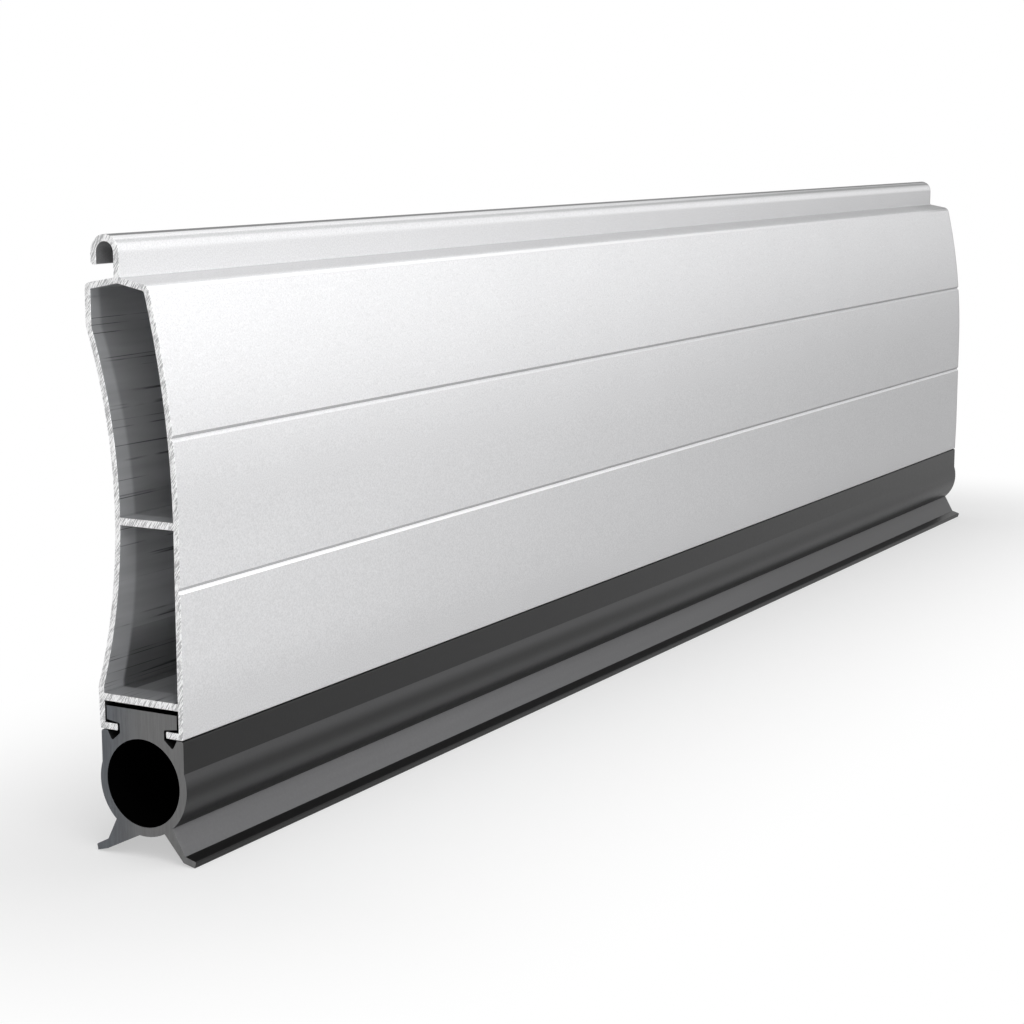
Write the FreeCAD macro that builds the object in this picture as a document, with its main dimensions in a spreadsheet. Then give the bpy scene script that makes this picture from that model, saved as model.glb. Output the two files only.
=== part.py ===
import FreeCAD, Part
import math
import os
import Sketcher

# Roller shutter bottom slat: a short length of the last slat of a garage door curtain.
# An aluminium extrusion with a hook along its top edge, a bowed front, a hollowed back and
# two closed chambers carries a rubber seal in the slot along its bottom edge.
# Frame: X runs along the slat, the front face looks towards -Y, Z is up.
# The slat stands on the two lips of its seal, so Z = 0 is the floor.

doc = FreeCAD.newDocument("ShutterBottomSlat")
sheet = doc.addObject("Spreadsheet::Sheet", "Sizes")

# Driving sizes in millimetres
SIZES = [
    ("slat_length", 425.0, "length of the cut piece"),
    ("front_foot_width", 9.25, "front face to the middle plane at the bottom of the slot"),
    ("back_foot_width", 9.42, "back face to the middle plane at the bottom of the slot"),
    ("front_half_width", 9.45, "front face to the middle plane, where it stands upright"),
    ("back_half_width", 9.63, "back face to the middle plane at its lower bend"),
    ("back_top_width", 9.96, "back face to the middle plane above its upper bend"),
    ("front_wall", 1.2, "thickness of the bowed front wall"),
    ("back_wall", 1.25, "thickness of the hollowed back wall"),
    ("top_wall", 1.2, "thickness of the two sloping top faces"),
    ("front_swell_height", 9.0, "height above the slat's bottom where the front is full width"),
    ("bow_start", 37.4, "height above the slat's bottom where the front starts to bow back"),
    ("bow_radius", 177.0, "radius of the bowed front face"),
    ("belly_rise", 1.1, "lower bend of the back face above the web over the slot"),
    ("hollow_span", 65.3, "height of the hollowed back face between its two bends"),
    ("hollow_radius", 106.6, "radius of the hollowed back face"),
    ("top_side", 7.55, "height of the two top corners above the upper bend"),
    ("crown_rise", 1.15, "foot of the stem above the top corners"),
    ("middle_web_rise", 30.15, "underside of the middle web above the lower bend"),
    ("middle_web", 1.37, "thickness of the middle web"),
    ("stem_front", 2.13, "front of the hook's stem to the middle plane"),
    ("hook_radius", 3.15, "outer radius of the hook"),
    ("hook_wall", 1.25, "thickness of the stem and the hook"),
    ("hook_rise", 4.35, "centre of the hook's curve above the foot of the stem"),
    ("hook_drop", 2.2, "end of the hook below the centre of its curve"),
    ("slot_half_width", 8.3, "half the width inside the slot"),
    ("slot_height", 4.05, "clear height inside the slot"),
    ("slot_lip", 1.24, "thickness of the slot's two lips"),
    ("slot_mouth", 5.5, "half the opening between the lips"),
    ("slot_roof", 1.35, "thickness of the web over the slot"),
    ("groove_low", 27.1, "height of the lower groove above the slat's bottom"),
    ("groove_high", 54.1, "height of the upper groove above the slat's bottom"),
    ("groove_width", 1.2, "width of each groove"),
    ("groove_depth", 0.5, "depth of each groove"),
    ("top_corner_round", 0.8, "rounding of the two top corners"),
    ("bend_round", 2.5, "rounding of the back face's two bends"),
    ("stem_round", 0.5, "rounding at the foot of the stem"),
    ("lip_round", 0.4, "rounding of the slot lips and the hook's end"),
    ("foot_round", 0.3, "rounding of the slat's two bottom corners"),
    ("bulb_height", 13.95, "height of the bulb's centre above the floor"),
    ("bulb_radius", 9.75, "outer radius of the bulb"),
    ("bulb_wall", 1.55, "thickness of the bulb beside the bore"),
    ("bore_rise", 0.18, "centre of the bore above the centre of the bulb"),
    ("shoulder_drop", 0.45, "seal's shoulders, which carry the slat, below the top of the bulb"),
    ("seal_half_width", 9.25, "half the width over the seal's flat sides"),
    ("head_top_gap", 0.6, "clearance over the seal's head in the slot"),
    ("head_side_gap", 0.3, "clearance beside the seal's head in the slot"),
    ("head_edge_gap", 0.6, "clearance under the head's outer edge"),
    ("head_neck_gap", 0.2, "clearance under the head beside the neck"),
    ("neck_gap", 0.5, "clearance between the neck and each slot lip"),
    ("neck_round", 0.3, "rounding between the neck and the head"),
    ("notch_mouth", 0.75, "outer edge of the notch in each shoulder beyond its deepest point"),
    ("notch_reach", 1.85, "deepest point of the notch beyond the neck"),
    ("notch_depth", 1.75, "depth of the notch in each shoulder"),
    ("notch_neck_depth", 0.4, "depth of the notch beside the neck"),
    ("lip_tip", 1.15, "thickness of each sealing lip at its tip"),
    ("back_lip_reach", 11.1, "tip of the back lip to the middle plane"),
    ("back_bend_width", 8.44, "bend of the back lip to the middle plane"),
    ("back_bend_height", 2.5, "height of the back lip's bend"),
    ("front_lip_reach", 11.5, "tip of the front lip to the middle plane"),
    ("front_bend_width", 9.13, "bend of the front lip to the middle plane"),
    ("front_bend_height", 1.82, "height of the front lip's bend"),
    ("tip_round", 0.25, "rounding of the upper edge of each lip's tip"),
    ("seal_edge_round", 0.3, "rounding of the seal's outer shoulder edges"),
]
for row, (alias, number, note) in enumerate(SIZES, start=1):
    sheet.set("A%d" % row, alias)
    sheet.set("B%d" % row, "%g" % number)
    sheet.setAlias("B%d" % row, alias)
    sheet.set("C%d" % row, note)
doc.recompute()


class Size:
    """A length that keeps its number and the expression that gives it."""

    def __init__(self, number, text):
        self.number = float(number)
        self.text = text

    def __add__(self, other):
        other = as_size(other)
        return Size(self.number + other.number, "(%s + %s)" % (self.text, other.text))

    def __sub__(self, other):
        other = as_size(other)
        return Size(self.number - other.number, "(%s - %s)" % (self.text, other.text))

    def __mul__(self, factor):
        factor = as_size(factor)
        return Size(self.number * factor.number, "(%s * %s)" % (self.text, factor.text))

    def __truediv__(self, divisor):
        divisor = as_size(divisor)
        return Size(self.number / divisor.number, "(%s / %s)" % (self.text, divisor.text))

    def __neg__(self):
        return Size(-self.number, "(0 - %s)" % self.text)

    def root(self):
        return Size(math.sqrt(self.number), "sqrt(%s)" % self.text)


def as_size(value):
    if isinstance(value, Size):
        return value
    return Size(value, "%.6f" % value)


def size(alias):
    return Size(sheet.get(alias), "Sizes.%s" % alias)


def new_body(name, label):
    body = doc.addObject("PartDesign::Body", name)
    body.Label = label
    return body


def section_sketch(body, name):
    """A sketch on the body's own YZ plane: across is Y, up is Z."""
    sketch = body.newObject("Sketcher::SketchObject", name)
    plane = [f for f in body.Origin.OriginFeatures if f.Role == "YZ_Plane"][0]
    sketch.AttachmentSupport = (plane, [""])
    sketch.MapMode = "FlatFace"
    return sketch


def bind(sketch, constraint, name, value):
    """Adds a constraint with a name and ties its number to the sheet."""
    number = sketch.addConstraint(constraint)
    sketch.renameConstraint(number, name)
    sketch.setExpression("Constraints.%s" % name, value.text)


def point_of(corner):
    return FreeCAD.Vector(corner[0].number, corner[1].number, 0)


def arc_between(start, end, radius, left):
    """Arc from start to end; its centre is to the left or the right of that way."""
    chord = end - start
    half = chord.Length / 2
    rise = math.sqrt(radius * radius - half * half)
    side = FreeCAD.Vector(-chord.y, chord.x, 0)
    side.normalize()
    centre = (start + end) / 2 + side * (rise if left else -rise)
    a = math.atan2(start.y - centre.y, start.x - centre.x)
    b = math.atan2(end.y - centre.y, end.x - centre.x)
    circle = Part.Circle(centre, FreeCAD.Vector(0, 0, 1), radius)
    if left:
        return Part.ArcOfCircle(circle, a, b), 1, 2
    return Part.ArcOfCircle(circle, b, a), 2, 1


def closed_outline(sketch, corners, arcs=None):
    """Closed outline through corners (across, up). Arcs gives the radius and the centre's
    side for the edge that leaves the corner of that number."""
    arcs = arcs or {}
    ends = []
    for i, corner in enumerate(corners):
        start = point_of(corner)
        end = point_of(corners[(i + 1) % len(corners)])
        if i in arcs:
            radius, left = arcs[i]
            shape, first, last = arc_between(start, end, radius.number, left)
        else:
            shape, first, last = Part.LineSegment(start, end), 1, 2
        edge = sketch.addGeometry(shape, False)
        ends.append((edge, first, last))
    for i in range(len(corners)):
        edge, first, last = ends[i]
        following, next_first, next_last = ends[(i + 1) % len(corners)]
        sketch.addConstraint(Sketcher.Constraint("Coincident", edge, last, following, next_first))
    for i, (across, up) in enumerate(corners):
        edge, first, last = ends[i]
        bind(sketch, Sketcher.Constraint("DistanceX", -1, 1, edge, first, across.number),
             "across_%d" % i, across)
        bind(sketch, Sketcher.Constraint("DistanceY", -1, 1, edge, first, up.number),
             "up_%d" % i, up)
    for i in sorted(arcs):
        radius = arcs[i][0]
        bind(sketch, Sketcher.Constraint("Radius", ends[i][0], radius.number),
             "radius_%d" % i, radius)


def round_outline(sketch, up, radius):
    """Circle on the middle plane."""
    centre = FreeCAD.Vector(0, up.number, 0)
    sketch.addGeometry(Part.Circle(centre, FreeCAD.Vector(0, 0, 1), radius.number), False)
    sketch.addConstraint(Sketcher.Constraint("PointOnObject", 0, 3, -2))
    bind(sketch, Sketcher.Constraint("DistanceY", -1, 1, 0, 3, up.number), "up", up)
    bind(sketch, Sketcher.Constraint("Radius", 0, radius.number), "radius", radius)


def pad_along(body, sketch, name):
    pad = body.newObject("PartDesign::Pad", name)
    pad.Profile = sketch
    pad.Type = "Length"
    pad.SideType = "Symmetric"
    pad.setExpression("Length", "Sizes.slat_length")
    sketch.Visibility = False
    doc.recompute()
    return pad


def pocket_along(body, sketch, name):
    """Cuts the sketch's outline through the whole length and checks that it took something."""
    before = body.Shape.Volume
    pocket = body.newObject("PartDesign::Pocket", name)
    pocket.Profile = sketch
    pocket.Type = "Length"
    pocket.SideType = "Symmetric"
    pocket.setExpression("Length", "Sizes.slat_length + 2")
    sketch.Visibility = False
    doc.recompute()
    if not body.Shape.Volume < before - 1:
        raise RuntimeError("%s cut nothing" % name)
    return pocket


def round_edges(body, name, places, radius):
    """Rounds the long edges that pass through the places (across, up)."""
    base = body.Tip
    names = []
    for across, up in places:
        found = None
        for i, edge in enumerate(base.Shape.Edges, start=1):
            a = edge.Vertexes[0].Point
            b = edge.Vertexes[-1].Point
            if abs(a.x - b.x) < 1 or edge.Curve.TypeId != "Part::GeomLine":
                continue
            off = math.hypot(a.y - across.number, a.z - up.number)
            if off < 0.02:
                found = "Edge%d" % i
        if found is None:
            raise RuntimeError("%s finds no edge at %.2f, %.2f" % (name, across.number, up.number))
        names.append(found)
    fillet = body.newObject("PartDesign::Fillet", name)
    fillet.Base = (base, names)
    fillet.setExpression("Radius", radius.text)
    doc.recompute()
    return fillet


# Slat extrusion: the outer section
slat = new_body("SlatBody", "slat_extrusion")
zero = as_size(0.0)
front_foot = size("front_foot_width")
back_foot = size("back_foot_width")
front = size("front_half_width")
back = size("back_half_width")
back_top = size("back_top_width")
slot_lip = size("slot_lip")
roof_under = slot_lip + size("slot_height")
roof_top = roof_under + size("slot_roof")
belly = roof_top + size("belly_rise")
crest = belly + size("hollow_span")
shoulder = crest + size("top_side")
crown = shoulder + size("crown_rise")
hook_wall = size("hook_wall")
stem_front = size("stem_front")
stem_back = stem_front + hook_wall
bow_start = size("bow_start")
bow_radius = size("bow_radius")
hollow = size("hollow_radius")


def front_face(up, radius):
    """Distance that a front surface of this radius has bowed back at this height."""
    climb = up - bow_start
    return radius - (radius * radius - climb * climb).root()


front_top = front - front_face(shoulder, bow_radius)
outer = section_sketch(slat, "OuterSection")
closed_outline(outer, [
    (back_foot, zero),
    (back, belly),
    (back_top, crest),
    (back_top, shoulder),
    (stem_back, crown),
    (stem_front, crown),
    (-front_top, shoulder),
    (-front, bow_start),
    (-front, size("front_swell_height")),
    (-front_foot, zero),
], {1: (hollow, False), 6: (bow_radius, True)})
pad_along(slat, outer, "OuterPad")

# Slat extrusion: one hollow between the slot's roof and the top, cut out first
front_wall = size("front_wall")
back_wall = size("back_wall")
top_wall = size("top_wall")
inner_bend = back_wall * 0.16
inner_corner = shoulder - top_wall * 0.83
inner_bow = bow_radius - front_wall
hollow_sketch = section_sketch(slat, "ChamberSection")
closed_outline(hollow_sketch, [
    (back - back_wall, roof_top),
    (back - back_wall, belly + inner_bend),
    (back_top - back_wall, crest - inner_bend),
    (back_top - back_wall, inner_corner),
    ((stem_front + stem_back) / 2, crown - top_wall),
    (-front + front_wall + front_face(inner_corner, inner_bow), inner_corner),
    (-front + front_wall, bow_start),
    (-front + front_wall, roof_top),
], {1: (hollow + back_wall, False), 5: (inner_bow, True)})
pocket_along(slat, hollow_sketch, "ChamberPocket")

# Slat extrusion: the middle web that divides the hollow into two chambers
web_low = belly + size("middle_web_rise")
web_high = web_low + size("middle_web")
web_span = size("hollow_span")
web_back = (back + back_top) / 2 - web_span * web_span / (hollow * 8) - back_wall / 2
web_sketch = section_sketch(slat, "MiddleWebSection")
closed_outline(web_sketch, [
    (-front + front_wall / 2, web_low),
    (web_back, web_low),
    (web_back, web_high),
    (-front + front_wall / 2, web_high),
])
pad_along(slat, web_sketch, "MiddleWebPad")

# Slat extrusion: the slot for the seal and its mouth between the two lips
slot_half = size("slot_half_width")
mouth = size("slot_mouth")
slot_sketch = section_sketch(slat, "SlotSection")
closed_outline(slot_sketch, [
    (mouth, as_size(-1.0)),
    (mouth, slot_lip),
    (slot_half, slot_lip),
    (slot_half, roof_under),
    (-slot_half, roof_under),
    (-slot_half, slot_lip),
    (-mouth, slot_lip),
    (-mouth, as_size(-1.0)),
])
pocket_along(slat, slot_sketch, "SlotPocket")

# Slat extrusion: the hook that takes the next slat, on its stem
hook_radius = size("hook_radius")
hook_up = crown + size("hook_rise")
hook_end = hook_up - size("hook_drop")
hook_back = stem_front + hook_radius * 2
hook_sketch = section_sketch(slat, "HookSection")
closed_outline(hook_sketch, [
    (stem_front, crown - top_wall / 2),
    (stem_back, crown - top_wall / 2),
    (stem_back, hook_up),
    (stem_front + hook_radius, hook_up + hook_radius - hook_wall),
    (hook_back - hook_wall, hook_up),
    (hook_back - hook_wall, hook_end),
    (hook_back, hook_end),
    (hook_back, hook_up),
    (stem_front + hook_radius, hook_up + hook_radius),
    (stem_front, hook_up),
], {
    2: (hook_radius - hook_wall, False),
    3: (hook_radius - hook_wall, False),
    7: (hook_radius, True),
    8: (hook_radius, True),
})
pad_along(slat, hook_sketch, "HookPad")

# Slat extrusion: the two shallow grooves along the front face
groove_half = size("groove_width") / 2
groove_depth = size("groove_depth")
for name, up in (("LowGroove", size("groove_low")), ("HighGroove", size("groove_high"))):
    face = -front
    if up.number > bow_start.number:
        face = face + front_face(up, bow_radius)
    groove_sketch = section_sketch(slat, name + "Section")
    closed_outline(groove_sketch, [
        (face + groove_depth, up),
        (face - groove_depth, up + groove_half * 2),
        (face - groove_depth, up - groove_half * 2),
    ])
    pocket_along(slat, groove_sketch, name)

# Slat extrusion: rounded corners
round_edges(slat, "TopCornerRounds", [(back_top, shoulder), (-front_top, shoulder)],
            size("top_corner_round"))
round_edges(slat, "BendRounds", [(back, belly), (back_top, crest)], size("bend_round"))
round_edges(slat, "StemRounds", [(stem_back, crown), (stem_front, crown)], size("stem_round"))
round_edges(slat, "LipRounds", [
    (mouth, zero), (mouth, slot_lip), (-mouth, zero), (-mouth, slot_lip),
    (hook_back, hook_end), (hook_back - hook_wall, hook_end),
], size("lip_round"))
round_edges(slat, "FootRounds", [(back_foot, zero), (-front_foot, zero)], size("foot_round"))

# Bottom seal: head, neck and shoulders down to the middle of the bulb
seal = new_body("SealBody", "bottom_seal")
bulb_up = size("bulb_height")
bulb_radius = size("bulb_radius")
bore_up = bulb_up + size("bore_rise")
bore_radius = bulb_radius - size("bulb_wall")
seat = bulb_up + bulb_radius - size("shoulder_drop")
side = size("seal_half_width")
head = slot_half - size("head_side_gap")
head_top = seat + roof_under - size("head_top_gap")
head_edge = seat + slot_lip + size("head_edge_gap")
head_root = seat + slot_lip + size("head_neck_gap")
neck = mouth - size("neck_gap")
notch_foot = neck + size("notch_reach")
notch_mouth = notch_foot + size("notch_mouth")
block_sketch = section_sketch(seal, "HeadSection")
half_outline = [
    (side, bulb_up),
    (side, seat),
    (notch_mouth, seat),
    (notch_foot, seat - size("notch_depth")),
    (neck, seat - size("notch_neck_depth")),
    (neck, head_root),
    (head, head_edge),
    (head, head_top),
]
closed_outline(block_sketch, half_outline + [(-a, u) for a, u in reversed(half_outline)])
pad_along(seal, block_sketch, "HeadPad")

# Bottom seal: the bulb
bulb_sketch = section_sketch(seal, "BulbSection")
round_outline(bulb_sketch, bulb_up, bulb_radius)
pad_along(seal, bulb_sketch, "BulbPad")

# Bottom seal: the back lip, a wedge that bends out into a thin tip
tip = size("lip_tip")
reach = size("back_lip_reach")
bend = size("back_bend_width")
bend_up = size("back_bend_height")
back_lip = section_sketch(seal, "BackLipSection")
closed_outline(back_lip, [
    (bulb_radius * 0.62, bulb_up - bulb_radius * 0.69),
    (bulb_radius * 0.04, bulb_up - bulb_radius * 0.955),
    (bend + tip * 0.15, bend_up - tip * 1.63),
    (reach - tip * 0.19, zero),
    (reach, tip * 0.98),
    (bend, bend_up),
])
pad_along(seal, back_lip, "BackLipPad")

# Bottom seal: the front lip, a thin blade that bends out into its tip
reach = size("front_lip_reach")
bend = size("front_bend_width")
bend_up = size("front_bend_height")
front_lip = section_sketch(seal, "FrontLipSection")
closed_outline(front_lip, [
    (-(bulb_radius * 0.632), bulb_up - bulb_radius * 0.704),
    (-bend, bend_up),
    (-reach, tip),
    (-(reach - tip * 0.3), zero),
    (-(bend - tip * 0.37), bend_up - tip * 1.09),
    (-(bulb_radius * 0.42), bulb_up - bulb_radius * 0.83),
])
pad_along(seal, front_lip, "FrontLipPad")

# Bottom seal: the bore through the bulb
bore_sketch = section_sketch(seal, "BoreSection")
round_outline(bore_sketch, bore_up, bore_radius)
pocket_along(seal, bore_sketch, "BorePocket")

# Bottom seal: rounded edges
round_edges(seal, "ShoulderRounds", [(side, seat), (-side, seat)], size("seal_edge_round"))
round_edges(seal, "NeckRounds", [(neck, head_root), (-neck, head_root)], size("neck_round"))
round_edges(seal, "TipRounds", [
    (size("back_lip_reach"), tip * 0.98), (-size("front_lip_reach"), tip),
], size("tip_round"))

# The slat sits on the seal's shoulders, and both move across so that the origin lies
# halfway between the two lip tips
centring = (size("front_lip_reach") - size("back_lip_reach")) / 2
slat.Placement = FreeCAD.Placement(FreeCAD.Vector(0, centring.number, seat.number), FreeCAD.Rotation())
slat.setExpression("Placement.Base.y", centring.text)
slat.setExpression("Placement.Base.z", seat.text)
seal.Placement = FreeCAD.Placement(FreeCAD.Vector(0, centring.number, 0), FreeCAD.Rotation())
seal.setExpression("Placement.Base.y", centring.text)
doc.recompute()

# Checks on the finished document before anything is written
for thing in doc.Objects:
    if "Invalid" in thing.State or "Error" in thing.State:
        raise RuntimeError("%s failed: %s" % (thing.Name, thing.State))
sub_parts = [slat, seal]
for sub_part in sub_parts:
    shape = sub_part.Shape
    if shape.isNull() or not shape.isValid() or len(shape.Solids) != 1:
        raise RuntimeError("%s has no single valid solid" % sub_part.Label)
overlap = slat.Shape.common(seal.Shape).Volume
if overlap > 0.01:
    raise RuntimeError("the seal and the slat overlap by %.3f cubic millimetres" % overlap)

os.makedirs("parts", exist_ok=True)
for sub_part in sub_parts:
    box = sub_part.Shape.BoundBox
    print("%s: %.1f cubic mm, X %.2f..%.2f, Y %.2f..%.2f, Z %.2f..%.2f" % (
        sub_part.Label, sub_part.Shape.Volume, box.XMin, box.XMax, box.YMin, box.YMax, box.ZMin, box.ZMax))
    sub_part.Shape.exportStep(os.path.join("parts", sub_part.Label + ".step"))
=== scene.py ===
import math

import bpy
from bpy.props import FloatProperty, FloatVectorProperty, PointerProperty
from bpy.types import Operator, Panel, PropertyGroup
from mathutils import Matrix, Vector


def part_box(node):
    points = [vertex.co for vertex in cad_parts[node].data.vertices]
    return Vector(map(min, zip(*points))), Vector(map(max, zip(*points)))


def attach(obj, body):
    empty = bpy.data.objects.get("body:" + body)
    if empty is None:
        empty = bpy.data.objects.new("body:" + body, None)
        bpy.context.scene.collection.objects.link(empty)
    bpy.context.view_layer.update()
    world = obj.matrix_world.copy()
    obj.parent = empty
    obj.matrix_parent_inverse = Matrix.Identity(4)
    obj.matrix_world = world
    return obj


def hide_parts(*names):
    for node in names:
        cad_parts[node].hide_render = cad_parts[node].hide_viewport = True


# Roller shutter bottom slat: an aluminium slat with a hook along its top edge and a bowed,
# satin-coated front, and the rubber seal in the slot along its bottom edge.
# X runs along the slat, the front face looks towards -Y, Z is up, and Z = 0 is the floor.

bl_info = {
    "name": "Roller shutter bottom slat",
    "version": (1, 0, 0),
    "blender": (4, 5, 0),
    "location": "View3D > Sidebar > Shutter slat",
    "description": "Builds a shutter bottom slat with its rubber seal and a plain studio",
    "category": "Object",
}

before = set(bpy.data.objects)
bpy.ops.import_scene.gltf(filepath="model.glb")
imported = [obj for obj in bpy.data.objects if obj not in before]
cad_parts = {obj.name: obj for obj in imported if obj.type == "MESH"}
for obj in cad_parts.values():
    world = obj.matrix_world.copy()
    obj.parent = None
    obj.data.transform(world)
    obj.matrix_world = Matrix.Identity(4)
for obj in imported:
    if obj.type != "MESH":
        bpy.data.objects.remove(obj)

MM = 0.001
SLAT_NODE = "slat_extrusion"
SEAL_NODE = "bottom_seal"
SLAT_LOW, SLAT_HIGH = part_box(SLAT_NODE)
SEAL_LOW, SEAL_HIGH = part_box(SEAL_NODE)

CAMERA_PLACE = (-0.52394, -0.25145, 0.13120)
CAMERA_YAW = math.radians(-60.625)
CAMERA_PITCH = math.radians(9.685)
SENSOR_WIDTH = 36.0
CLIP_RANGE = (0.01, 100.0)
LAMP_TARGET = (-0.10, 0.0, 0.06)
FLOOR_HALF = 12.0
FLOOR_UP = -0.1 * MM
# Each lamp's side and place. Its power is the studio's property of the same name.
LAMPS = {
    "near_front": (0.35, (-0.32, -0.50, 0.58)),
    "near_low": (0.25, (-0.40, -0.45, 0.22)),
    "near_side": (0.30, (-0.52, -0.26, 0.55)),
    "near_high": (0.40, (-0.35, -0.30, 0.85)),
    "middle": (0.40, (0.00, -0.55, 0.60)),
    "far_low": (0.50, (0.60, -0.72, 0.30)),
    "far_high": (0.40, (0.40, -0.50, 0.85)),
    "far_top": (0.40, (0.70, -0.35, 0.80)),
    "end_high": (0.25, (-0.42, -0.30, 0.40)),
    "end_low": (0.20, (-0.60, -0.34, 0.16)),
    "top": (0.50, (0.10, -0.35, 1.00)),
    "back": (0.50, (0.10, 0.78, 0.32)),
}


def length(millimetres, description):
    """A length that the user can change, kept in metres."""
    return FloatProperty(description=description, default=millimetres * MM, min=0.0,
                         precision=5, unit="LENGTH")


def tint(red, green, blue, description):
    """A linear colour that the user can change."""
    return FloatVectorProperty(description=description, default=(red, green, blue), size=3,
                               min=0.0, max=1.0, subtype="COLOR")


def share(value, description):
    """A number from 0 to 1 that the user can change."""
    return FloatProperty(description=description, default=value, min=0.0, max=1.0,
                         subtype="FACTOR")


def power(watts, lamp):
    """The power of a lamp, which the user can change."""
    return FloatProperty(description="Power of the " + lamp, default=watts, min=0.0,
                         unit="POWER")


class SlatSizes(PropertyGroup):
    """Section of the aluminium slat. Widths are from the middle plane, heights from its foot."""
    front_foot: length(9.25, "Front face at the slat's foot")
    back_foot: length(9.42, "Back face at the slat's foot")
    front: length(9.45, "Front face where it stands upright")
    back: length(9.63, "Back face at its lower bend")
    back_top: length(9.96, "Back face above its upper bend")
    front_wall: length(1.2, "Thickness of the bowed front wall")
    back_wall: length(1.25, "Thickness of the hollowed back wall")
    top_wall: length(1.2, "Thickness of the two sloping top faces")
    swell: length(9.0, "Height where the front reaches its full width")
    bow_start: length(37.4, "Height where the front starts to bow back")
    bow_radius: length(177.0, "Radius of the bowed front face")
    belly_rise: length(1.1, "Lower bend of the back above the web over the slot")
    hollow_span: length(65.3, "Height of the hollowed back between its bends")
    hollow_radius: length(106.6, "Radius of the hollowed back")
    top_side: length(7.55, "Height of the top corners above the upper bend")
    crown_rise: length(1.15, "Foot of the stem above the top corners")
    web_rise: length(30.15, "Underside of the middle web above the lower bend")
    web: length(1.37, "Thickness of the middle web")
    stem_front: length(2.13, "Front of the hook's stem")
    hook_radius: length(3.15, "Outer radius of the hook")
    hook_wall: length(1.25, "Thickness of the stem and the hook")
    hook_rise: length(4.35, "Centre of the hook's curve above the foot of the stem")
    hook_drop: length(2.2, "End of the hook below the centre of its curve")
    slot_half: length(8.3, "Half the width inside the slot")
    slot_height: length(4.05, "Clear height inside the slot")
    slot_lip: length(1.24, "Thickness of the slot's two lips")
    slot_mouth: length(5.5, "Half the opening between the lips")
    slot_roof: length(1.35, "Thickness of the web over the slot")
    groove_low: length(27.1, "Height of the lower groove")
    groove_high: length(54.1, "Height of the upper groove")
    groove_width: length(1.2, "Width of each groove")
    groove_depth: length(0.5, "Depth of each groove")
    corner_round: length(1.15, "Rounding of the back's top corner")
    front_round: length(2.0, "Rounding of the front's top corner")
    inner_round: length(0.7, "Rounding in the front top corner of the chamber")
    bend_round: length(2.5, "Rounding of the back face's two bends")
    stem_round: length(0.5, "Rounding at the foot of the stem")
    lip_round: length(0.22, "Rounding of the slot lips and inside the hook's free end")
    hook_round: length(0.55, "Rounding outside the hook's free end")
    foot_round: length(0.3, "Rounding of the slat's bottom corners")
    cut_edge: length(0.06, "Bevel that the saw and the file leave round each cut end")


class SealSizes(PropertyGroup):
    """Section of the rubber seal. Widths are from the middle plane, heights from the floor."""
    bulb_up: length(13.95, "Height of the bulb's centre")
    bulb_radius: length(9.75, "Outer radius of the bulb")
    bulb_wall: length(1.55, "Thickness of the bulb beside the bore")
    bore_rise: length(0.18, "Centre of the bore above the centre of the bulb")
    shoulder_drop: length(0.45, "Shoulders below the top of the bulb")
    side: length(9.25, "Half the width over the flat sides")
    head_top_gap: length(0.85, "Clearance over the head in the slot")
    head_side_gap: length(0.38, "Clearance beside the head in the slot")
    head_edge_gap: length(0.6, "Clearance under the head's outer edge")
    head_neck_gap: length(0.2, "Clearance under the head beside the neck")
    neck_gap: length(0.5, "Clearance between the neck and each slot lip")
    neck_round: length(0.3, "Rounding between the neck and the head")
    seam: length(0.15, "Dark joint between the slat's foot and the shoulders")
    notch_mouth: length(1.0, "Notch's outer edge beyond its deepest point")
    notch_reach: length(1.85, "Notch's deepest point beyond the neck")
    notch_depth: length(2.0, "Depth of the notch in each shoulder")
    notch_neck: length(0.4, "Depth of the notch beside the neck")
    notch_round: length(0.4, "Rounding in the bottom of each notch")
    lip_tip: length(1.15, "Thickness of each lip at its tip")
    back_reach: length(11.1, "Tip of the back lip")
    back_bend: length(8.44, "Bend of the back lip")
    back_bend_up: length(2.5, "Height of the back lip's bend")
    front_reach: length(11.5, "Tip of the front lip")
    front_bend: length(9.13, "Bend of the front lip")
    front_bend_up: length(1.82, "Height of the front lip's bend")
    tip_round: length(0.25, "Rounding of the upper edge of each tip")
    edge_round: length(0.5, "Rounding of the outer shoulder edges")
    cut_edge: length(0.05, "Soft edge that the knife leaves round each cut end")


class Finishes(PropertyGroup):
    """Colours of the slat and the seal."""
    coat: tint(0.80, 0.80, 0.81, "Satin silver coat on the outside of the slat")
    bare: tint(0.80, 0.80, 0.81, "Bare aluminium of the sawn ends")
    inside: tint(0.74, 0.75, 0.77, "Uncoated metal inside the chambers")
    rubber: tint(0.018, 0.018, 0.0185, "Outside of the seal")
    cut_rubber: tint(0.155, 0.155, 0.155, "Cut ends of the seal")
    # Painted shade of the cut towards the back
    cut_light: tint(0.127, 0.137, 0.151, "Light streaks of the cut towards the back")
    cut_dark: tint(0.085, 0.091, 0.101, "Dark streaks of the cut towards the back")
    coat_roughness: share(0.38, "Roughness of the satin coat")
    rubber_roughness: share(0.38, "Roughness of the seal")


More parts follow.
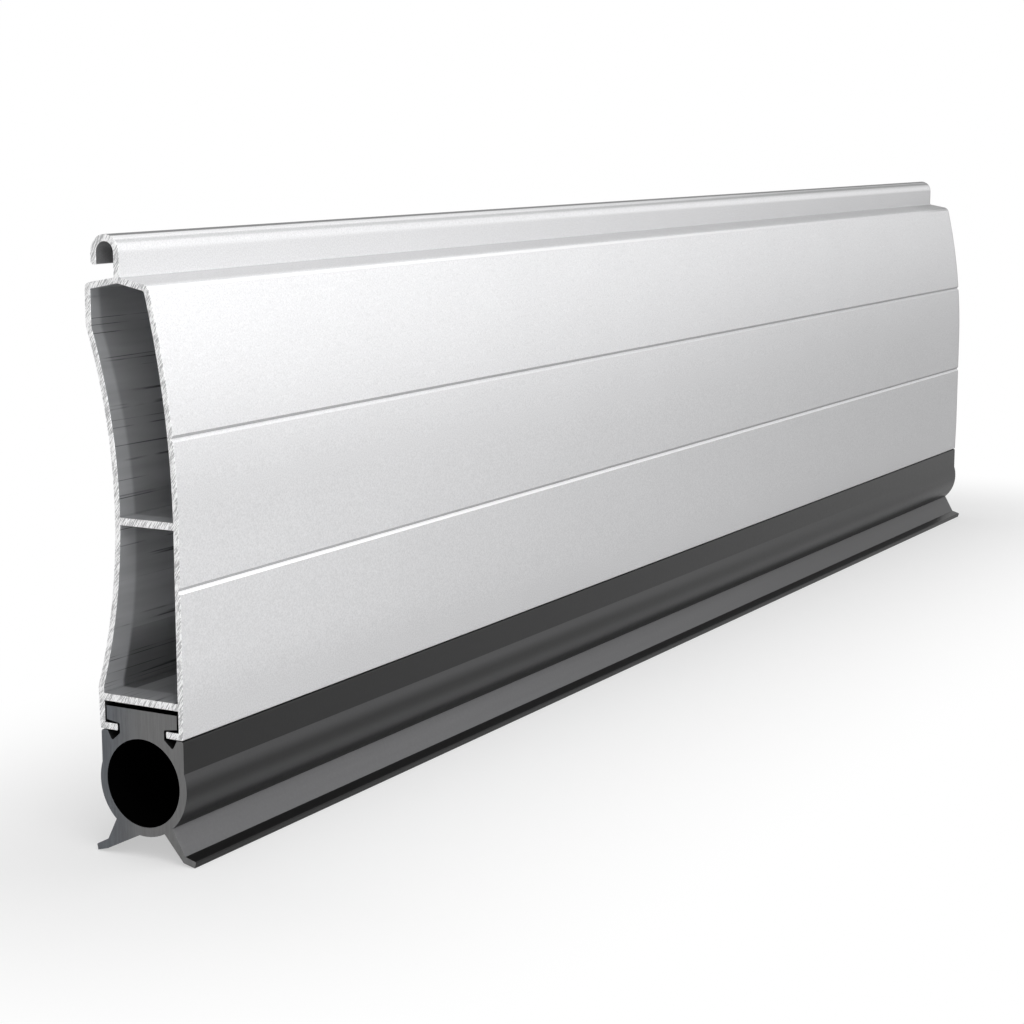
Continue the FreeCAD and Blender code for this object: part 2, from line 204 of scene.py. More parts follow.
class Studio(PropertyGroup):
    """Camera, lamps and floor."""
    floor: tint(0.93, 0.93, 0.93, "Pale floor under the slat")
    near_front: power(0.22, "lamp before the near end")
    near_low: power(0.22, "low lamp before the near end")
    near_side: power(0.25, "lamp beyond the near end")
    near_high: power(0.7, "high lamp over the near end")
    middle: power(0.27, "lamp before the middle")
    far_low: power(0.65, "low lamp before the far end")
    far_high: power(0.27, "lamp high over the far half")
    far_top: power(0.50, "lamp high beyond the far end")
    end_high: power(0.39, "lamp that looks at the near cut end")
    end_low: power(0.25, "lamp that looks into the near cut end")
    top: power(0.18, "lamp overhead")
    back: power(1.2, "lamp behind the slat")
    world: share(0.35, "Strength of the even light from all sides")
    focal: FloatProperty(description="Lens of the camera in millimetres", default=79.72, min=1.0)


# Outlines of the two sections

BORE_SIDES = 120


class Outline:
    """A closed outline in one plane, drawn corner by corner with the material on its left."""

    ROUND_STEP = math.radians(11.0)
    CURVE_STEP = math.radians(5.0)
    LONGEST_STEP = 2.5 * MM
    SAME_POINT = 1e-7

    def __init__(self, across, up, rounding=0.0):
        self.corners = [(Vector((across, up)), rounding)]
        self.legs = []

    def line(self, across, up, rounding=0.0):
        """A straight edge to this corner."""
        start = self.corners[-1][0]
        end = Vector((across, up))
        self.corners.append((end, rounding))
        self.legs.append([start, end])
        return self

    def arc(self, across, up, radius, left=True, rounding=0.0):
        """A curved edge to this corner, whose centre lies to the left or right of the way."""
        start = self.corners[-1][0]
        end = Vector((across, up))
        centre = arc_centre(start, end, radius, left)
        first = math.atan2(start.y - centre.y, start.x - centre.x)
        last = math.atan2(end.y - centre.y, end.x - centre.x)
        turn = (last - first) % math.tau if left else -((first - last) % math.tau)
        step = min(self.CURVE_STEP, self.LONGEST_STEP / radius)
        count = max(2, math.ceil(abs(turn) / step))
        leg = [start]
        for i in range(1, count):
            angle = first + turn * i / count
            leg.append(centre + Vector((math.cos(angle), math.sin(angle))) * radius)
        leg.append(end)
        self.corners.append((end, rounding))
        self.legs.append(leg)
        return self

    def close(self):
        """The last straight edge, back to the first corner, unless the outline is there."""
        start = self.corners[-1][0]
        end, rounding = self.corners[0]
        if (start - end).length > self.SAME_POINT:
            self.legs.append([start, end])
        else:
            self.corners.pop()
        return self

    def points(self):
        """The outline as points, with its corners rounded."""
        inner = [leg[1:-1] for leg in self.legs]
        fillets = []
        for i, (corner, rounding) in enumerate(self.corners):
            if rounding <= 0.0:
                fillets.append([corner])
                continue
            way_in = (corner - self.legs[i - 1][-2]).normalized()
            way_out = (self.legs[i][1] - corner).normalized()
            turn = math.atan2(way_in.cross(way_out), way_in.dot(way_out))
            reach = rounding * math.tan(abs(turn) / 2)
            side = 1.0 if turn > 0 else -1.0
            start = corner - way_in * reach
            centre = start + Vector((-way_in.y, way_in.x)) * side * rounding
            arm = start - centre
            count = max(2, math.ceil(abs(turn) / self.ROUND_STEP))
            fillets.append([centre + turned(arm, turn * k / count) for k in range(count + 1)])
            for leg in (i - 1, i):
                inner[leg] = [p for p in inner[leg] if (p - corner).length > reach]
        found = []
        for fillet, leg in zip(fillets, inner):
            found += fillet + leg
        return found


def turned(way, angle):
    """The way turned to the left by this angle."""
    cosine = math.cos(angle)
    sine = math.sin(angle)
    return Vector((way.x * cosine - way.y * sine, way.x * sine + way.y * cosine))


def arc_centre(start, end, radius, left):
    """Centre of the arc of this radius from start to end."""
    chord = end - start
    half = chord.length / 2
    rise = math.sqrt(radius * radius - half * half)
    side = Vector((-chord.y, chord.x)).normalized()
    return (start + end) / 2 + side * (rise if left else -rise)


def circle_outline(up, radius, count):
    """A round hole, with the material outside it."""
    step = -math.tau / count
    return [Vector((radius * math.cos(step * i), up + radius * math.sin(step * i)))
            for i in range(count)]


def leaving_circle(inner, outer, centre, radius):
    """Where the straight line from a point inside a circle to one outside it crosses it."""
    way = outer - inner
    arm = inner - centre
    a = way.dot(way)
    b = 2 * arm.dot(way)
    c = arm.dot(arm) - radius * radius
    return inner + way * ((-b + math.sqrt(b * b - 4 * a * c)) / (2 * a))


def bowed_back(climb, radius):
    """How far a curve of this radius has left its tangent after this climb."""
    return radius - math.sqrt(radius * radius - climb * climb) if climb > 0 else 0.0


def slot_roof_top(slat):
    """Top of the web over the slot, from the slat's foot."""
    return slat.slot_lip + slat.slot_height + slat.slot_roof


def seal_seat(seal):
    """Height of the seal's shoulders, which carry the slat."""
    return seal.bulb_up + seal.bulb_radius - seal.shoulder_drop


def flat_side_foot(seal):
    """Height where the seal's flat sides run into the bulb."""
    return seal.bulb_up + math.sqrt(seal.bulb_radius ** 2 - seal.side ** 2)


def middle_plane(slat):
    """Where the middle plane of both sections lies across the slat."""
    return SLAT_HIGH.y - slat.back_top


def slat_outlines(s):
    """The slat's outer outline and its two chambers, heights from the slat's foot."""
    roof_under = s.slot_lip + s.slot_height
    roof_top = slot_roof_top(s)
    belly = roof_top + s.belly_rise
    crest = belly + s.hollow_span
    shoulder = crest + s.top_side
    crown = shoulder + s.crown_rise
    stem_back = s.stem_front + s.hook_wall
    hook_up = crown + s.hook_rise
    hook_end = hook_up - s.hook_drop
    hook_back = s.stem_front + s.hook_radius * 2
    hook_middle = s.stem_front + s.hook_radius
    inner_radius = s.hook_radius - s.hook_wall

    def face(up):
        return -s.front + bowed_back(up - s.bow_start, s.bow_radius)

    def lean(up):
        climb = max(0.0, up - s.bow_start)
        return climb / math.sqrt(s.bow_radius ** 2 - climb ** 2)

    slope = s.groove_depth / (s.groove_width / 2)
    high_above = s.groove_high + s.groove_depth / (slope + lean(s.groove_high))
    high_below = s.groove_high - s.groove_depth / (slope - lean(s.groove_high))
    low_half = s.groove_width / 2

    outer = Outline(s.slot_mouth, 0.0, s.lip_round)
    outer.line(s.back_foot, 0.0, s.foot_round)
    outer.line(s.back, belly, s.bend_round)
    outer.arc(s.back_top, crest, s.hollow_radius, False, s.bend_round)
    outer.line(s.back_top, shoulder, s.corner_round)
    outer.line(stem_back, crown, s.stem_round)
    outer.line(stem_back, hook_up)
    outer.arc(hook_middle, hook_up + inner_radius, inner_radius, False)
    outer.arc(hook_back - s.hook_wall, hook_up, inner_radius, False)
    outer.line(hook_back - s.hook_wall, hook_end, s.lip_round)
    outer.line(hook_back, hook_end, s.hook_round)
    outer.line(hook_back, hook_up)
    outer.arc(hook_middle, hook_up + s.hook_radius, s.hook_radius)
    outer.arc(s.stem_front, hook_up, s.hook_radius)
    outer.line(s.stem_front, crown, s.stem_round)
    outer.line(face(shoulder), shoulder, s.front_round)
    outer.arc(face(high_above), high_above, s.bow_radius)
    outer.line(face(s.groove_high) + s.groove_depth, s.groove_high)
    outer.line(face(high_below), high_below)
    outer.arc(-s.front, s.bow_start, s.bow_radius)
    outer.line(-s.front, s.groove_low + low_half)
    outer.line(-s.front + s.groove_depth, s.groove_low)
    outer.line(-s.front, s.groove_low - low_half)
    outer.line(-s.front, s.swell)
    outer.line(-s.front_foot, 0.0, s.foot_round)
    outer.line(-s.slot_mouth, 0.0, s.lip_round)
    outer.line(-s.slot_mouth, s.slot_lip, s.lip_round)
    outer.line(-s.slot_half, s.slot_lip)
    outer.line(-s.slot_half, roof_under)
    outer.line(s.slot_half, roof_under)
    outer.line(s.slot_half, s.slot_lip)
    outer.line(s.slot_mouth, s.slot_lip, s.lip_round)
    outer.close()

    # Inside faces of the two walls
    inner_bend = s.back_wall * 0.16
    inner_bow = s.bow_radius - s.front_wall
    inner_hollow = s.hollow_radius + s.back_wall
    low_bend = Vector((s.back - s.back_wall, belly + inner_bend))
    high_bend = Vector((s.back_top - s.back_wall, crest - inner_bend))
    hollow_centre = arc_centre(low_bend, high_bend, inner_hollow, False)

    def inner_face(up):
        return -s.front + s.front_wall + bowed_back(up - s.bow_start, inner_bow)

    def inner_back(up):
        return hollow_centre.x - math.sqrt(inner_hollow ** 2 - (up - hollow_centre.y) ** 2)

    web_low = belly + s.web_rise
    web_high = web_low + s.web
    corner = shoulder - s.top_wall * 0.83

    lower = Outline(inner_face(roof_top), roof_top)
    lower.line(inner_face(s.bow_start), s.bow_start)
    lower.line(inner_face(web_low), web_low)
    lower.line(inner_back(web_low), web_low)
    lower.arc(low_bend.x, low_bend.y, inner_hollow, True)
    lower.line(low_bend.x, roof_top)
    lower.close()

    upper = Outline(inner_face(web_high), web_high)
    upper.arc(inner_face(corner), corner, inner_bow, False, s.inner_round)
    upper.line((s.stem_front + stem_back) / 2, crown - s.top_wall * 0.81)
    upper.line(high_bend.x, corner)
    upper.line(high_bend.x, high_bend.y)
    upper.arc(inner_back(web_high), web_high, inner_hollow, True)
    upper.close()
    return [outer.points()], [lower.points(), upper.points()]


def seal_outlines(s, slat):
    """The seal's outer outline and its bore, heights from the floor."""
    seat = seal_seat(s)
    head = slat.slot_half - s.head_side_gap
    head_top = seat + slat.slot_lip + slat.slot_height - s.head_top_gap
    head_edge = seat + slat.slot_lip + s.head_edge_gap
    head_root = seat + slat.slot_lip + s.head_neck_gap
    neck = slat.slot_mouth - s.neck_gap
    notch_foot = neck + s.notch_reach
    notch_mouth = notch_foot + s.notch_mouth
    middle = Vector((0.0, s.bulb_up))
    radius = s.bulb_radius
    tip = s.lip_tip

    def on_bulb(across, drop, bend, bend_up):
        inner = Vector((radius * across, s.bulb_up - radius * drop))
        return leaving_circle(inner, Vector((bend, bend_up)), middle, radius)

    back_under = Vector((s.back_bend + tip * 0.15, s.back_bend_up - tip * 1.63))
    front_under = Vector((-(s.front_bend - tip * 0.37), s.front_bend_up - tip * 1.09))
    back_low = on_bulb(0.04, 0.955, *back_under)
    back_high = on_bulb(0.62, 0.69, s.back_bend, s.back_bend_up)
    front_low = on_bulb(-0.42, 0.83, *front_under)
    front_high = on_bulb(-0.632, 0.704, -s.front_bend, s.front_bend_up)
    flat_foot = flat_side_foot(s)

    outer = Outline(*front_low)
    outer.arc(*back_low, radius)
    outer.line(*back_under)
    outer.line(s.back_reach - tip * 0.19, 0.0)
    outer.line(s.back_reach, tip * 0.98, s.tip_round)
    outer.line(s.back_bend, s.back_bend_up)
    outer.line(*back_high)
    outer.arc(s.side, flat_foot, radius)
    half_outline = (
        (s.side, seat - s.seam, s.edge_round),
        (notch_mouth, seat - s.seam, 0.0),
        (notch_foot, seat - s.notch_depth, s.notch_round),
        (neck, seat - s.notch_neck, 0.0),
        (neck, head_root, s.neck_round),
        (head, head_edge, 0.0),
        (head, head_top, 0.0),
    )
    for corner in half_outline:
        outer.line(*corner)
    for across, up, rounding in reversed(half_outline):
        outer.line(-across, up, rounding)
    outer.line(-s.side, flat_foot)
    outer.arc(*front_high, radius)
    outer.line(-s.front_bend, s.front_bend_up)
    outer.line(-s.front_reach, tip, s.tip_round)
    outer.line(-(s.front_reach - tip * 0.3), 0.0)
    outer.line(*front_under)
    outer.line(*front_low)
    outer.close()
    bore = circle_outline(s.bulb_up + s.bore_rise, radius - s.bulb_wall, BORE_SIDES)
    return [outer.points()], [bore]


# Nodes written as sums and products

class Wire:
    """An output of a node that can be added, taken away, multiplied and so on."""

    def __init__(self, sheet, socket):
        self.sheet = sheet
        self.socket = socket

    def maths(self, operation, *values):
        return self.sheet.out("ShaderNodeMath", dict(enumerate(values)), operation=operation)

    def __add__(self, other):
        return self.maths("ADD", self, other)

    def __sub__(self, other):
        return self.maths("SUBTRACT", self, other)

    def __rsub__(self, other):
        return self.maths("SUBTRACT", other, self)

    def __mul__(self, other):
        return self.maths("MULTIPLY", self, other)

    def __pow__(self, other):
        return self.maths("POWER", self, other)

    def __abs__(self):
        return self.maths("ABSOLUTE", self)

    def __lt__(self, other):
        return self.maths("LESS_THAN", self, other)

    def __gt__(self, other):
        return self.maths("GREATER_THAN", self, other)

    __radd__ = __add__
    __rmul__ = __mul__

    def clamped(self):
        return self.sheet.out("ShaderNodeClamp", {"Value": self})

    def fade(self, start, end):
        """0 up to start, 1 from end on, and smooth between them."""
        ends = {"Value": self, "From Min": start, "From Max": end}
        return self.sheet.out("ShaderNodeMapRange", ends, interpolation_type="SMOOTHSTEP")

    def within(self, low, high):
        """1 from low to high, and 0 outside."""
        return (self > low) * (self < high)

    def stripe(self, middle, core, edge):
        """1 as near the middle as the core, and 0 beyond the edge."""
        return 1.0 - abs(self - middle).fade(core, edge)

    def band(self, start, full, fall, end):
        """Rises from the start until it is full, then falls to the end."""
        return self.fade(start, full) * (1.0 - self.fade(fall, end))

    def toned(self, part, strength):
        """Lighter by this share where the part is 1, and darker if the share is negative."""
        return self * (part * strength + 1.0)


class NodeSheet:
    """A node tree that is filled by Python expressions."""

    def __init__(self, tree):
        self.tree = tree

    def node(self, kind, inputs=None, **settings):
        """A node of this type. Settings are set first, then the values or links of its sockets."""
        made = self.tree.nodes.new(kind)
        for key, value in settings.items():
            setattr(made, key, value)
        for key, value in (inputs or {}).items():
            self.feed(made.inputs[key], value)
        return made

    def feed(self, socket, value):
        if isinstance(value, Wire):
            self.tree.links.new(value.socket, socket)
        elif isinstance(value, bpy.types.NodeSocket):
            self.tree.links.new(value, socket)
        else:
            socket.default_value = value

    def wire(self, node, output=0):
        return Wire(self, node.outputs[output])

    def out(self, kind, inputs=None, output=0, **settings):
        """One output of a new node."""
        return self.wire(self.node(kind, inputs, **settings), output)

    def scaled(self, vector, factor):
        """A vector made longer, or a colour made lighter."""
        return self.out("ShaderNodeVectorMath", {0: vector, "Scale": factor}, operation="SCALE")

    def seen(self):
        """1 for rays that the camera sees, also in mirrors and through glass, and 0 for others."""
        rays = self.node("ShaderNodeLightPath")
        direct = self.wire(rays, "Is Camera Ray") + self.wire(rays, "Is Transmission Ray")
        return (direct + self.wire(rays, "Is Glossy Ray")).clamped()


# Geometry nodes that draw a section out to its length

SWEEP_INPUTS = (
    ("Length", "NodeSocketFloat"),
    ("Cut edge", "NodeSocketFloat"),
    ("Across", "NodeSocketFloat"),
    ("Up", "NodeSocketFloat"),
    ("Outside finish", "NodeSocketMaterial"),
    ("Inside finish", "NodeSocketMaterial"),
    ("Cut finish", "NodeSocketMaterial"),
)
SWEEP_NAME = "Draw out a section"
INWARD = "inward"
CAVITY = "cavity"
CUT = "cut"
SHARP_ANGLE = math.radians(28.0)
MERGE_WITHIN = 1e-6
SHARPEST_BEVEL = 0.3
FEWEST_FACES = 100


def sweep_tree():
    """A flat section is filled, drawn out along its length with a small bevel round both cut
    ends, turned so that its length runs along X, and given its three finishes."""
    tree = bpy.data.node_groups.new(SWEEP_NAME, "GeometryNodeTree")
    tree.interface.new_socket(name="Geometry", in_out="INPUT", socket_type="NodeSocketGeometry")
    for name, kind in SWEEP_INPUTS:
        tree.interface.new_socket(name=name, in_out="INPUT", socket_type=kind)
    tree.interface.new_socket(name="Geometry", in_out="OUTPUT", socket_type="NodeSocketGeometry")
    sheet = NodeSheet(tree)
    source = sheet.node("NodeGroupInput")
    outline = source.outputs["Geometry"]
    whole = sheet.wire(source, "Length")
    edge = sheet.wire(source, "Cut edge")

    def step(kind, inputs, **settings):
        return sheet.node("GeometryNode" + kind, inputs, **settings).outputs[0]

    def stored(name, kind):
        return sheet.out("GeometryNodeInputNamedAttribute", {"Name": name}, data_type=kind)

    def marked(mesh, name, value, kind, domain):
        return step("StoreNamedAttribute", {"Geometry": mesh, "Name": name, "Value": value},
                    data_type=kind, domain=domain)

    def moved(mesh, shift, selection=True):
        return step("SetPosition", {"Geometry": mesh, "Selection": selection, "Offset": shift})

    def along(distance):
        return sheet.out("ShaderNodeCombineXYZ", {"Z": distance})

    def joined(*meshes):
        node = sheet.node("GeometryNodeJoinGeometry")
        for mesh in meshes:
            tree.links.new(mesh, node.inputs[0])
        return node.outputs[0]

    def draw_out(mesh, distance):
        """Draws a face on by this distance. Top marks the face in its new place."""
        drawn = sheet.node("GeometryNodeExtrudeMesh",
                           {"Mesh": mesh, "Offset": along(distance), "Offset Scale": 1.0,
                            "Individual": False}, mode="FACES")
        return drawn.outputs["Mesh"], drawn.outputs["Top"]

    def parted(mesh, top):
        """The far face, which is drawn out further, and the rest."""
        parts = sheet.node("GeometryNodeSeparateGeometry", {"Geometry": mesh, "Selection": top},
                           domain="FACE")
        return parts.outputs["Selection"], parts.outputs["Inverted"]

    inset = sheet.scaled(stored(INWARD, "FLOAT_VECTOR"), edge)
    outset = sheet.scaled(inset, -1.0)
    flat = step("FillCurve", {"Curve": step("MeshToCurve", {"Mesh": outline})})

    # A filled curve has no marks, so each of its points takes those of the outline's own point
    nearest = step("SampleNearest", {"Geometry": outline}, domain="POINT")
    for name, kind in ((INWARD, "FLOAT_VECTOR"), (CAVITY, "FLOAT")):
        mark = step("SampleIndex", {"Geometry": outline, "Value": stored(name, kind),
                                    "Index": nearest}, data_type=kind, domain="POINT")
        flat = marked(flat, name, mark, kind, "POINT")
    flat = moved(moved(flat, inset), along(whole * -0.5))
    near_cap = step("FlipFaces", {"Mesh": flat})

    drawn, top = draw_out(flat, edge)
    face, bevel_near = parted(moved(drawn, outset, top), top)
    drawn, top = draw_out(face, whole - edge * 2.0)
    face, walls = parted(drawn, top)
    drawn, top = draw_out(face, edge)
    far_cap, bevel_far = parted(moved(drawn, inset, top), top)

    ends = marked(joined(near_cap, bevel_near, bevel_far, far_cap), CUT, 1.0, "FLOAT", "FACE")
    merged = step("MergeByDistance", {"Geometry": joined(ends, walls), "Distance": MERGE_WITHIN})
    smooth = step("SetShadeSmooth", {"Geometry": merged})
    creases = sheet.out("GeometryNodeInputMeshEdgeAngle") > SHARP_ANGLE
    creased = step("SetShadeSmooth", {"Geometry": smooth, "Selection": creases,
                                      "Shade Smooth": False}, domain="EDGE")
    # The section is drawn with across along X and up along Y, and its length runs along Z
    place = sheet.out("ShaderNodeCombineXYZ", {"Y": sheet.wire(source, "Across"),
                                               "Z": sheet.wire(source, "Up")})
    laid = step("Transform", {"Geometry": creased, "Translation": place,
                              "Rotation": (math.radians(90.0), 0.0, math.radians(90.0))})
    shown = step("RealizeInstances", {"Geometry": laid})
    coats = (("Outside finish", True), ("Inside finish", stored(CAVITY, "FLOAT") > 0.5),
             ("Cut finish", stored(CUT, "FLOAT") > 0.5))
    for finish, selection in coats:
        shown = step("SetMaterial", {"Geometry": shown, "Selection": selection,
                                     "Material": source.outputs[finish]})
    sheet.node("NodeGroupOutput", {"Geometry": shown})
    return tree


def inward_ways(points):
    """For each point of an outline with its material on the left, how its rim moves in for a
    bevel one unit wide."""
    ways = []
    for i, point in enumerate(points):
        before = (point - points[i - 1]).normalized()
        after = (points[(i + 1) % len(points)] - point).normalized()
        left_before = Vector((-before.y, before.x))
        left_after = Vector((-after.y, after.x))
        way = left_before + left_after
        ways.append(way / max(SHARPEST_BEVEL, way.dot(left_after)))
    return ways


def section_mesh(name, outside, cavities):
    """The outlines of a section as loops of edges, with the bevel's way and the cavity mark."""
    places = []
    edges = []
    ways = []
    marks = []
    for loops, mark in ((outside, 0.0), (cavities, 1.0)):
        for loop in loops:
            first = len(places)
            places += [(p.x, p.y, 0.0) for p in loop]
            edges += [(first + i, first + (i + 1) % len(loop)) for i in range(len(loop))]
            ways += [(w.x, w.y, 0.0) for w in inward_ways(loop)]
            marks += [mark] * len(loop)
    mesh = bpy.data.meshes.new(name)
    mesh.from_pydata(places, edges, [])
    inward = mesh.attributes.new(INWARD, "FLOAT_VECTOR", "POINT")
    inward.data.foreach_set("vector", [x for way in ways for x in way])
    cavity = mesh.attributes.new(CAVITY, "FLOAT", "POINT")
    cavity.data.foreach_set("value", marks)
    return mesh


def drawn_piece(name, mesh, values):
    """The section drawn out by the geometry nodes and made one plain mesh."""
    tree = bpy.data.node_groups.get(SWEEP_NAME) or sweep_tree()
    piece = bpy.data.objects.new(name, mesh)
    bpy.context.scene.collection.objects.link(piece)
    modifier = piece.modifiers.new("Draw out", "NODES")
    modifier.node_group = tree
    for item in tree.interface.items_tree:
        if item.item_type == "SOCKET" and item.in_out == "INPUT" and item.name in values:
            modifier[item.identifier] = values[item.name]
    graph = bpy.context.evaluated_depsgraph_get()
    drawn = bpy.data.meshes.new_from_object(piece.evaluated_get(graph))
    piece.modifiers.remove(modifier)
    piece.data = drawn
    drawn.name = name
    for spare in (INWARD, CAVITY, CUT):
        attribute = drawn.attributes.get(spare)
        if attribute:
            drawn.attributes.remove(attribute)
    if len(drawn.polygons) < FEWEST_FACES:
        raise RuntimeError("%s was not drawn out" % name)
    return piece


# Finishes. Each number beside a named part of the surface is how much that part is toned; most of
# these tones are painted light and painted shade.

# Faces on the rim of a region still belong to it
SURFACE = 0.02 * MM


class Finish(NodeSheet):
    """A material with one principled shader, whose places are read from the object."""

    def __init__(self, name):
        self.material = bpy.data.materials.new(name)
        self.material.use_nodes = True
        super().__init__(self.material.node_tree)
        self.shader = self.tree.nodes["Principled BSDF"]
        self.place = self.node("ShaderNodeTexCoord").outputs["Object"]
        split = self.node("ShaderNodeSeparateXYZ", {"Vector": self.place})
        self.x = self.wire(split, "X")
        self.y = self.wire(split, "Y")
        self.z = self.wire(split, "Z")

    def set(self, **values):
        for key, value in values.items():
            self.feed(self.shader.inputs[key.replace("_", " ")], value)

    def stretched(self, x, y, z):
        """The place with each axis scaled."""
        return self.out("ShaderNodeMapping", {"Vector": self.place, "Scale": (x, y, z)})

    def noise(self, place, scale, detail=2.0, roughness=0.5):
        return self.out("ShaderNodeTexNoise", {"Vector": place, "Scale": scale, "Detail": detail,
                                               "Roughness": roughness}, "Fac")

    def mix(self, share_of_second, first, second):
        """A colour between two colours, each three numbers or a wire."""
        node = self.node("ShaderNodeMix", {"Factor": share_of_second}, data_type="RGBA")
        # The node's sockets for colours come after those for numbers and vectors
        for socket, colour in ((6, first), (7, second)):
            self.feed(node.inputs[socket], colour if isinstance(colour, Wire) else (*colour, 1.0))
        return self.wire(node, 2)

    def bump(self, height, distance, strength):
        return self.out("ShaderNodeBump", {"Height": height, "Distance": distance,
                                           "Strength": strength})


def times(colour, factor):
    """The colour made lighter or darker, at most white."""
    return tuple(min(1.0, c * factor) for c in colour)


def coat_finish(f, s):
    """Satin silver powder coat: a fine even grain, with painted shade in the slot and in the
    hook's channel, and the painted highlight and shade lines that the photograph shows along the
    section."""
    m = Finish("silver_coat")
    up = m.z - SLAT_LOW.z
    across = m.y - middle_plane(s)
    near_part = 1.0 - m.x.fade(-0.20, 0.20)
    far_part = m.x.fade(-0.20, 0.16)
    far_end = far_part * far_part
    grain = m.noise(m.place, 3400.0, 3.0, 0.65)
    cloud = m.noise(m.place, 60.0, 2.0)
    tone = (grain - 0.5) * 1.4 + (cloud - 0.5) * 0.08 + 0.5

    # The front gets painted light towards its top, a painted pool of light low at the near end,
    # and painted shade low at the far end
    front = across < -0.4 * s.front
    shade = front * up.fade(20.0 * MM, 88.0 * MM) * 0.24 + 0.91
    shade = shade.toned(far_part * (1.0 - up.fade(40.0 * MM, 92.0 * MM)), -0.12)
    painted_glow = front * up.band(4.0 * MM, 15.0 * MM, 28.0 * MM, 46.0 * MM)
    shade = shade.toned(painted_glow * (1.0 - m.x.fade(-0.22, -0.02)), 0.09)

    # Each groove gets painted shade on its upper flank and a painted highlight on its lower one
    flank = s.groove_width / 2
    for groove, lower_flank_highlight in ((s.groove_low, 0.42), (s.groove_high, 0.10)):
        shade = shade.toned(front * up.within(groove, groove + flank), -0.28)
        shade = shade.toned(front * up.within(groove - flank, groove), lower_flank_highlight)

    # Painted shade inside the slot
    in_slot = (up < s.slot_lip + s.slot_height + SURFACE) * (abs(across) < s.slot_half + SURFACE)
    shade = shade.toned(in_slot, -0.95)

    # Along the hook run painted shade in the channel, a painted dark crest line, a painted
    # highlight line, a painted shade line and a broad painted highlight
    hook_top = SLAT_HIGH.z - SLAT_LOW.z
    hook_middle = s.stem_front + s.hook_radius
    below_crest = hook_top - up
    in_channel = abs(across - hook_middle) < s.hook_radius - s.hook_wall + SURFACE
    channel = in_channel * up.within(hook_top - 6.0 * MM, hook_top - s.hook_wall * 0.9)
    shade = shade.toned(channel, -0.62)
    shade = shade.toned(1.0 - below_crest.fade(0.20 * MM, 0.37 * MM), -0.66)
    hook_front = across < hook_middle
    painted_highlight_line = below_crest.stripe(0.55 * MM, 0.15 * MM, 0.50 * MM)
    shade = shade.toned(hook_front * painted_highlight_line, 0.27 - far_end * 0.32)
    painted_shade_line = below_crest.stripe(1.25 * MM - far_end * (0.50 * MM), 0.10 * MM, 0.45 * MM)
    shade = shade.toned(hook_front * painted_shade_line, -0.19 - far_end * 0.20)
    painted_sheen = below_crest.stripe(2.3 * MM - far_part * (0.2 * MM), 0.2 * MM, 1.1 * MM)
    shade = shade.toned(hook_front * painted_sheen, far_part * 0.24 + 0.10)

    # The stem and the slope at its foot get painted light at the near end, and the slope and the
    # far edge get painted shade at the far end
    stem_foot = hook_top - 7.6 * MM
    far_edge = SLAT_HIGH.x
    shade = shade.toned(hook_front * (up > stem_foot) * near_part, 0.09)
    slope = up.within(hook_top - 9.4 * MM, stem_foot)
    slope = slope * across.within(-s.front * 0.66, s.stem_front)
    shade = shade.toned(slope * near_part, 0.30)
    shade = shade.toned(slope * m.x.fade(far_edge - 30.0 * MM, far_edge), -0.3)
    shade = shade.toned(m.x.fade(far_edge - 0.9 * MM, far_edge - 0.3 * MM), -0.25)

    colour = m.mix(tone.clamped(), times(f.coat, 0.80), times(f.coat, 1.20))
    m.set(Base_Color=m.scaled(colour, shade), Metallic=0.35, Specular_IOR_Level=0.1,
          Specular_Tint=(0.1, 0.1, 0.1, 1.0), Roughness=(grain - 0.5) * 0.10 + f.coat_roughness,
          Normal=m.bump(grain, 0.02 * MM, 0.5))
    return m.material


def sawn_finish(f):
    """Sawn aluminium: fine diagonal tooth marks that rise to the front, some deeper."""
    m = Finish("sawn_aluminium")
    run = 0.84
    climb = 0.54
    warp = m.noise(m.place, 90.0, 2.0)
    across = m.y * run + m.z * climb + warp * (0.6 * MM)
    along = m.z * run - m.y * climb

    def tooth_marks(pitch, length, detail, roughness):
        row = m.out("ShaderNodeCombineXYZ", {"X": across * pitch, "Y": along * length})
        return m.noise(row, 1.0, detail, roughness)

    fine = tooth_marks(5000.0, 500.0, 2.0, 0.7)
    wide = tooth_marks(1300.0, 160.0, 1.0, 0.5)
    marks = (fine * 0.78 + wide * 0.22).fade(0.41, 0.56)
    m.set(Base_Color=m.mix(marks, times(f.bare, 0.60), times(f.bare, 1.25)), Metallic=0.45,
          Roughness=0.5 - marks * 0.12, Normal=m.bump(marks, 0.04 * MM, 0.5))
    return m.material


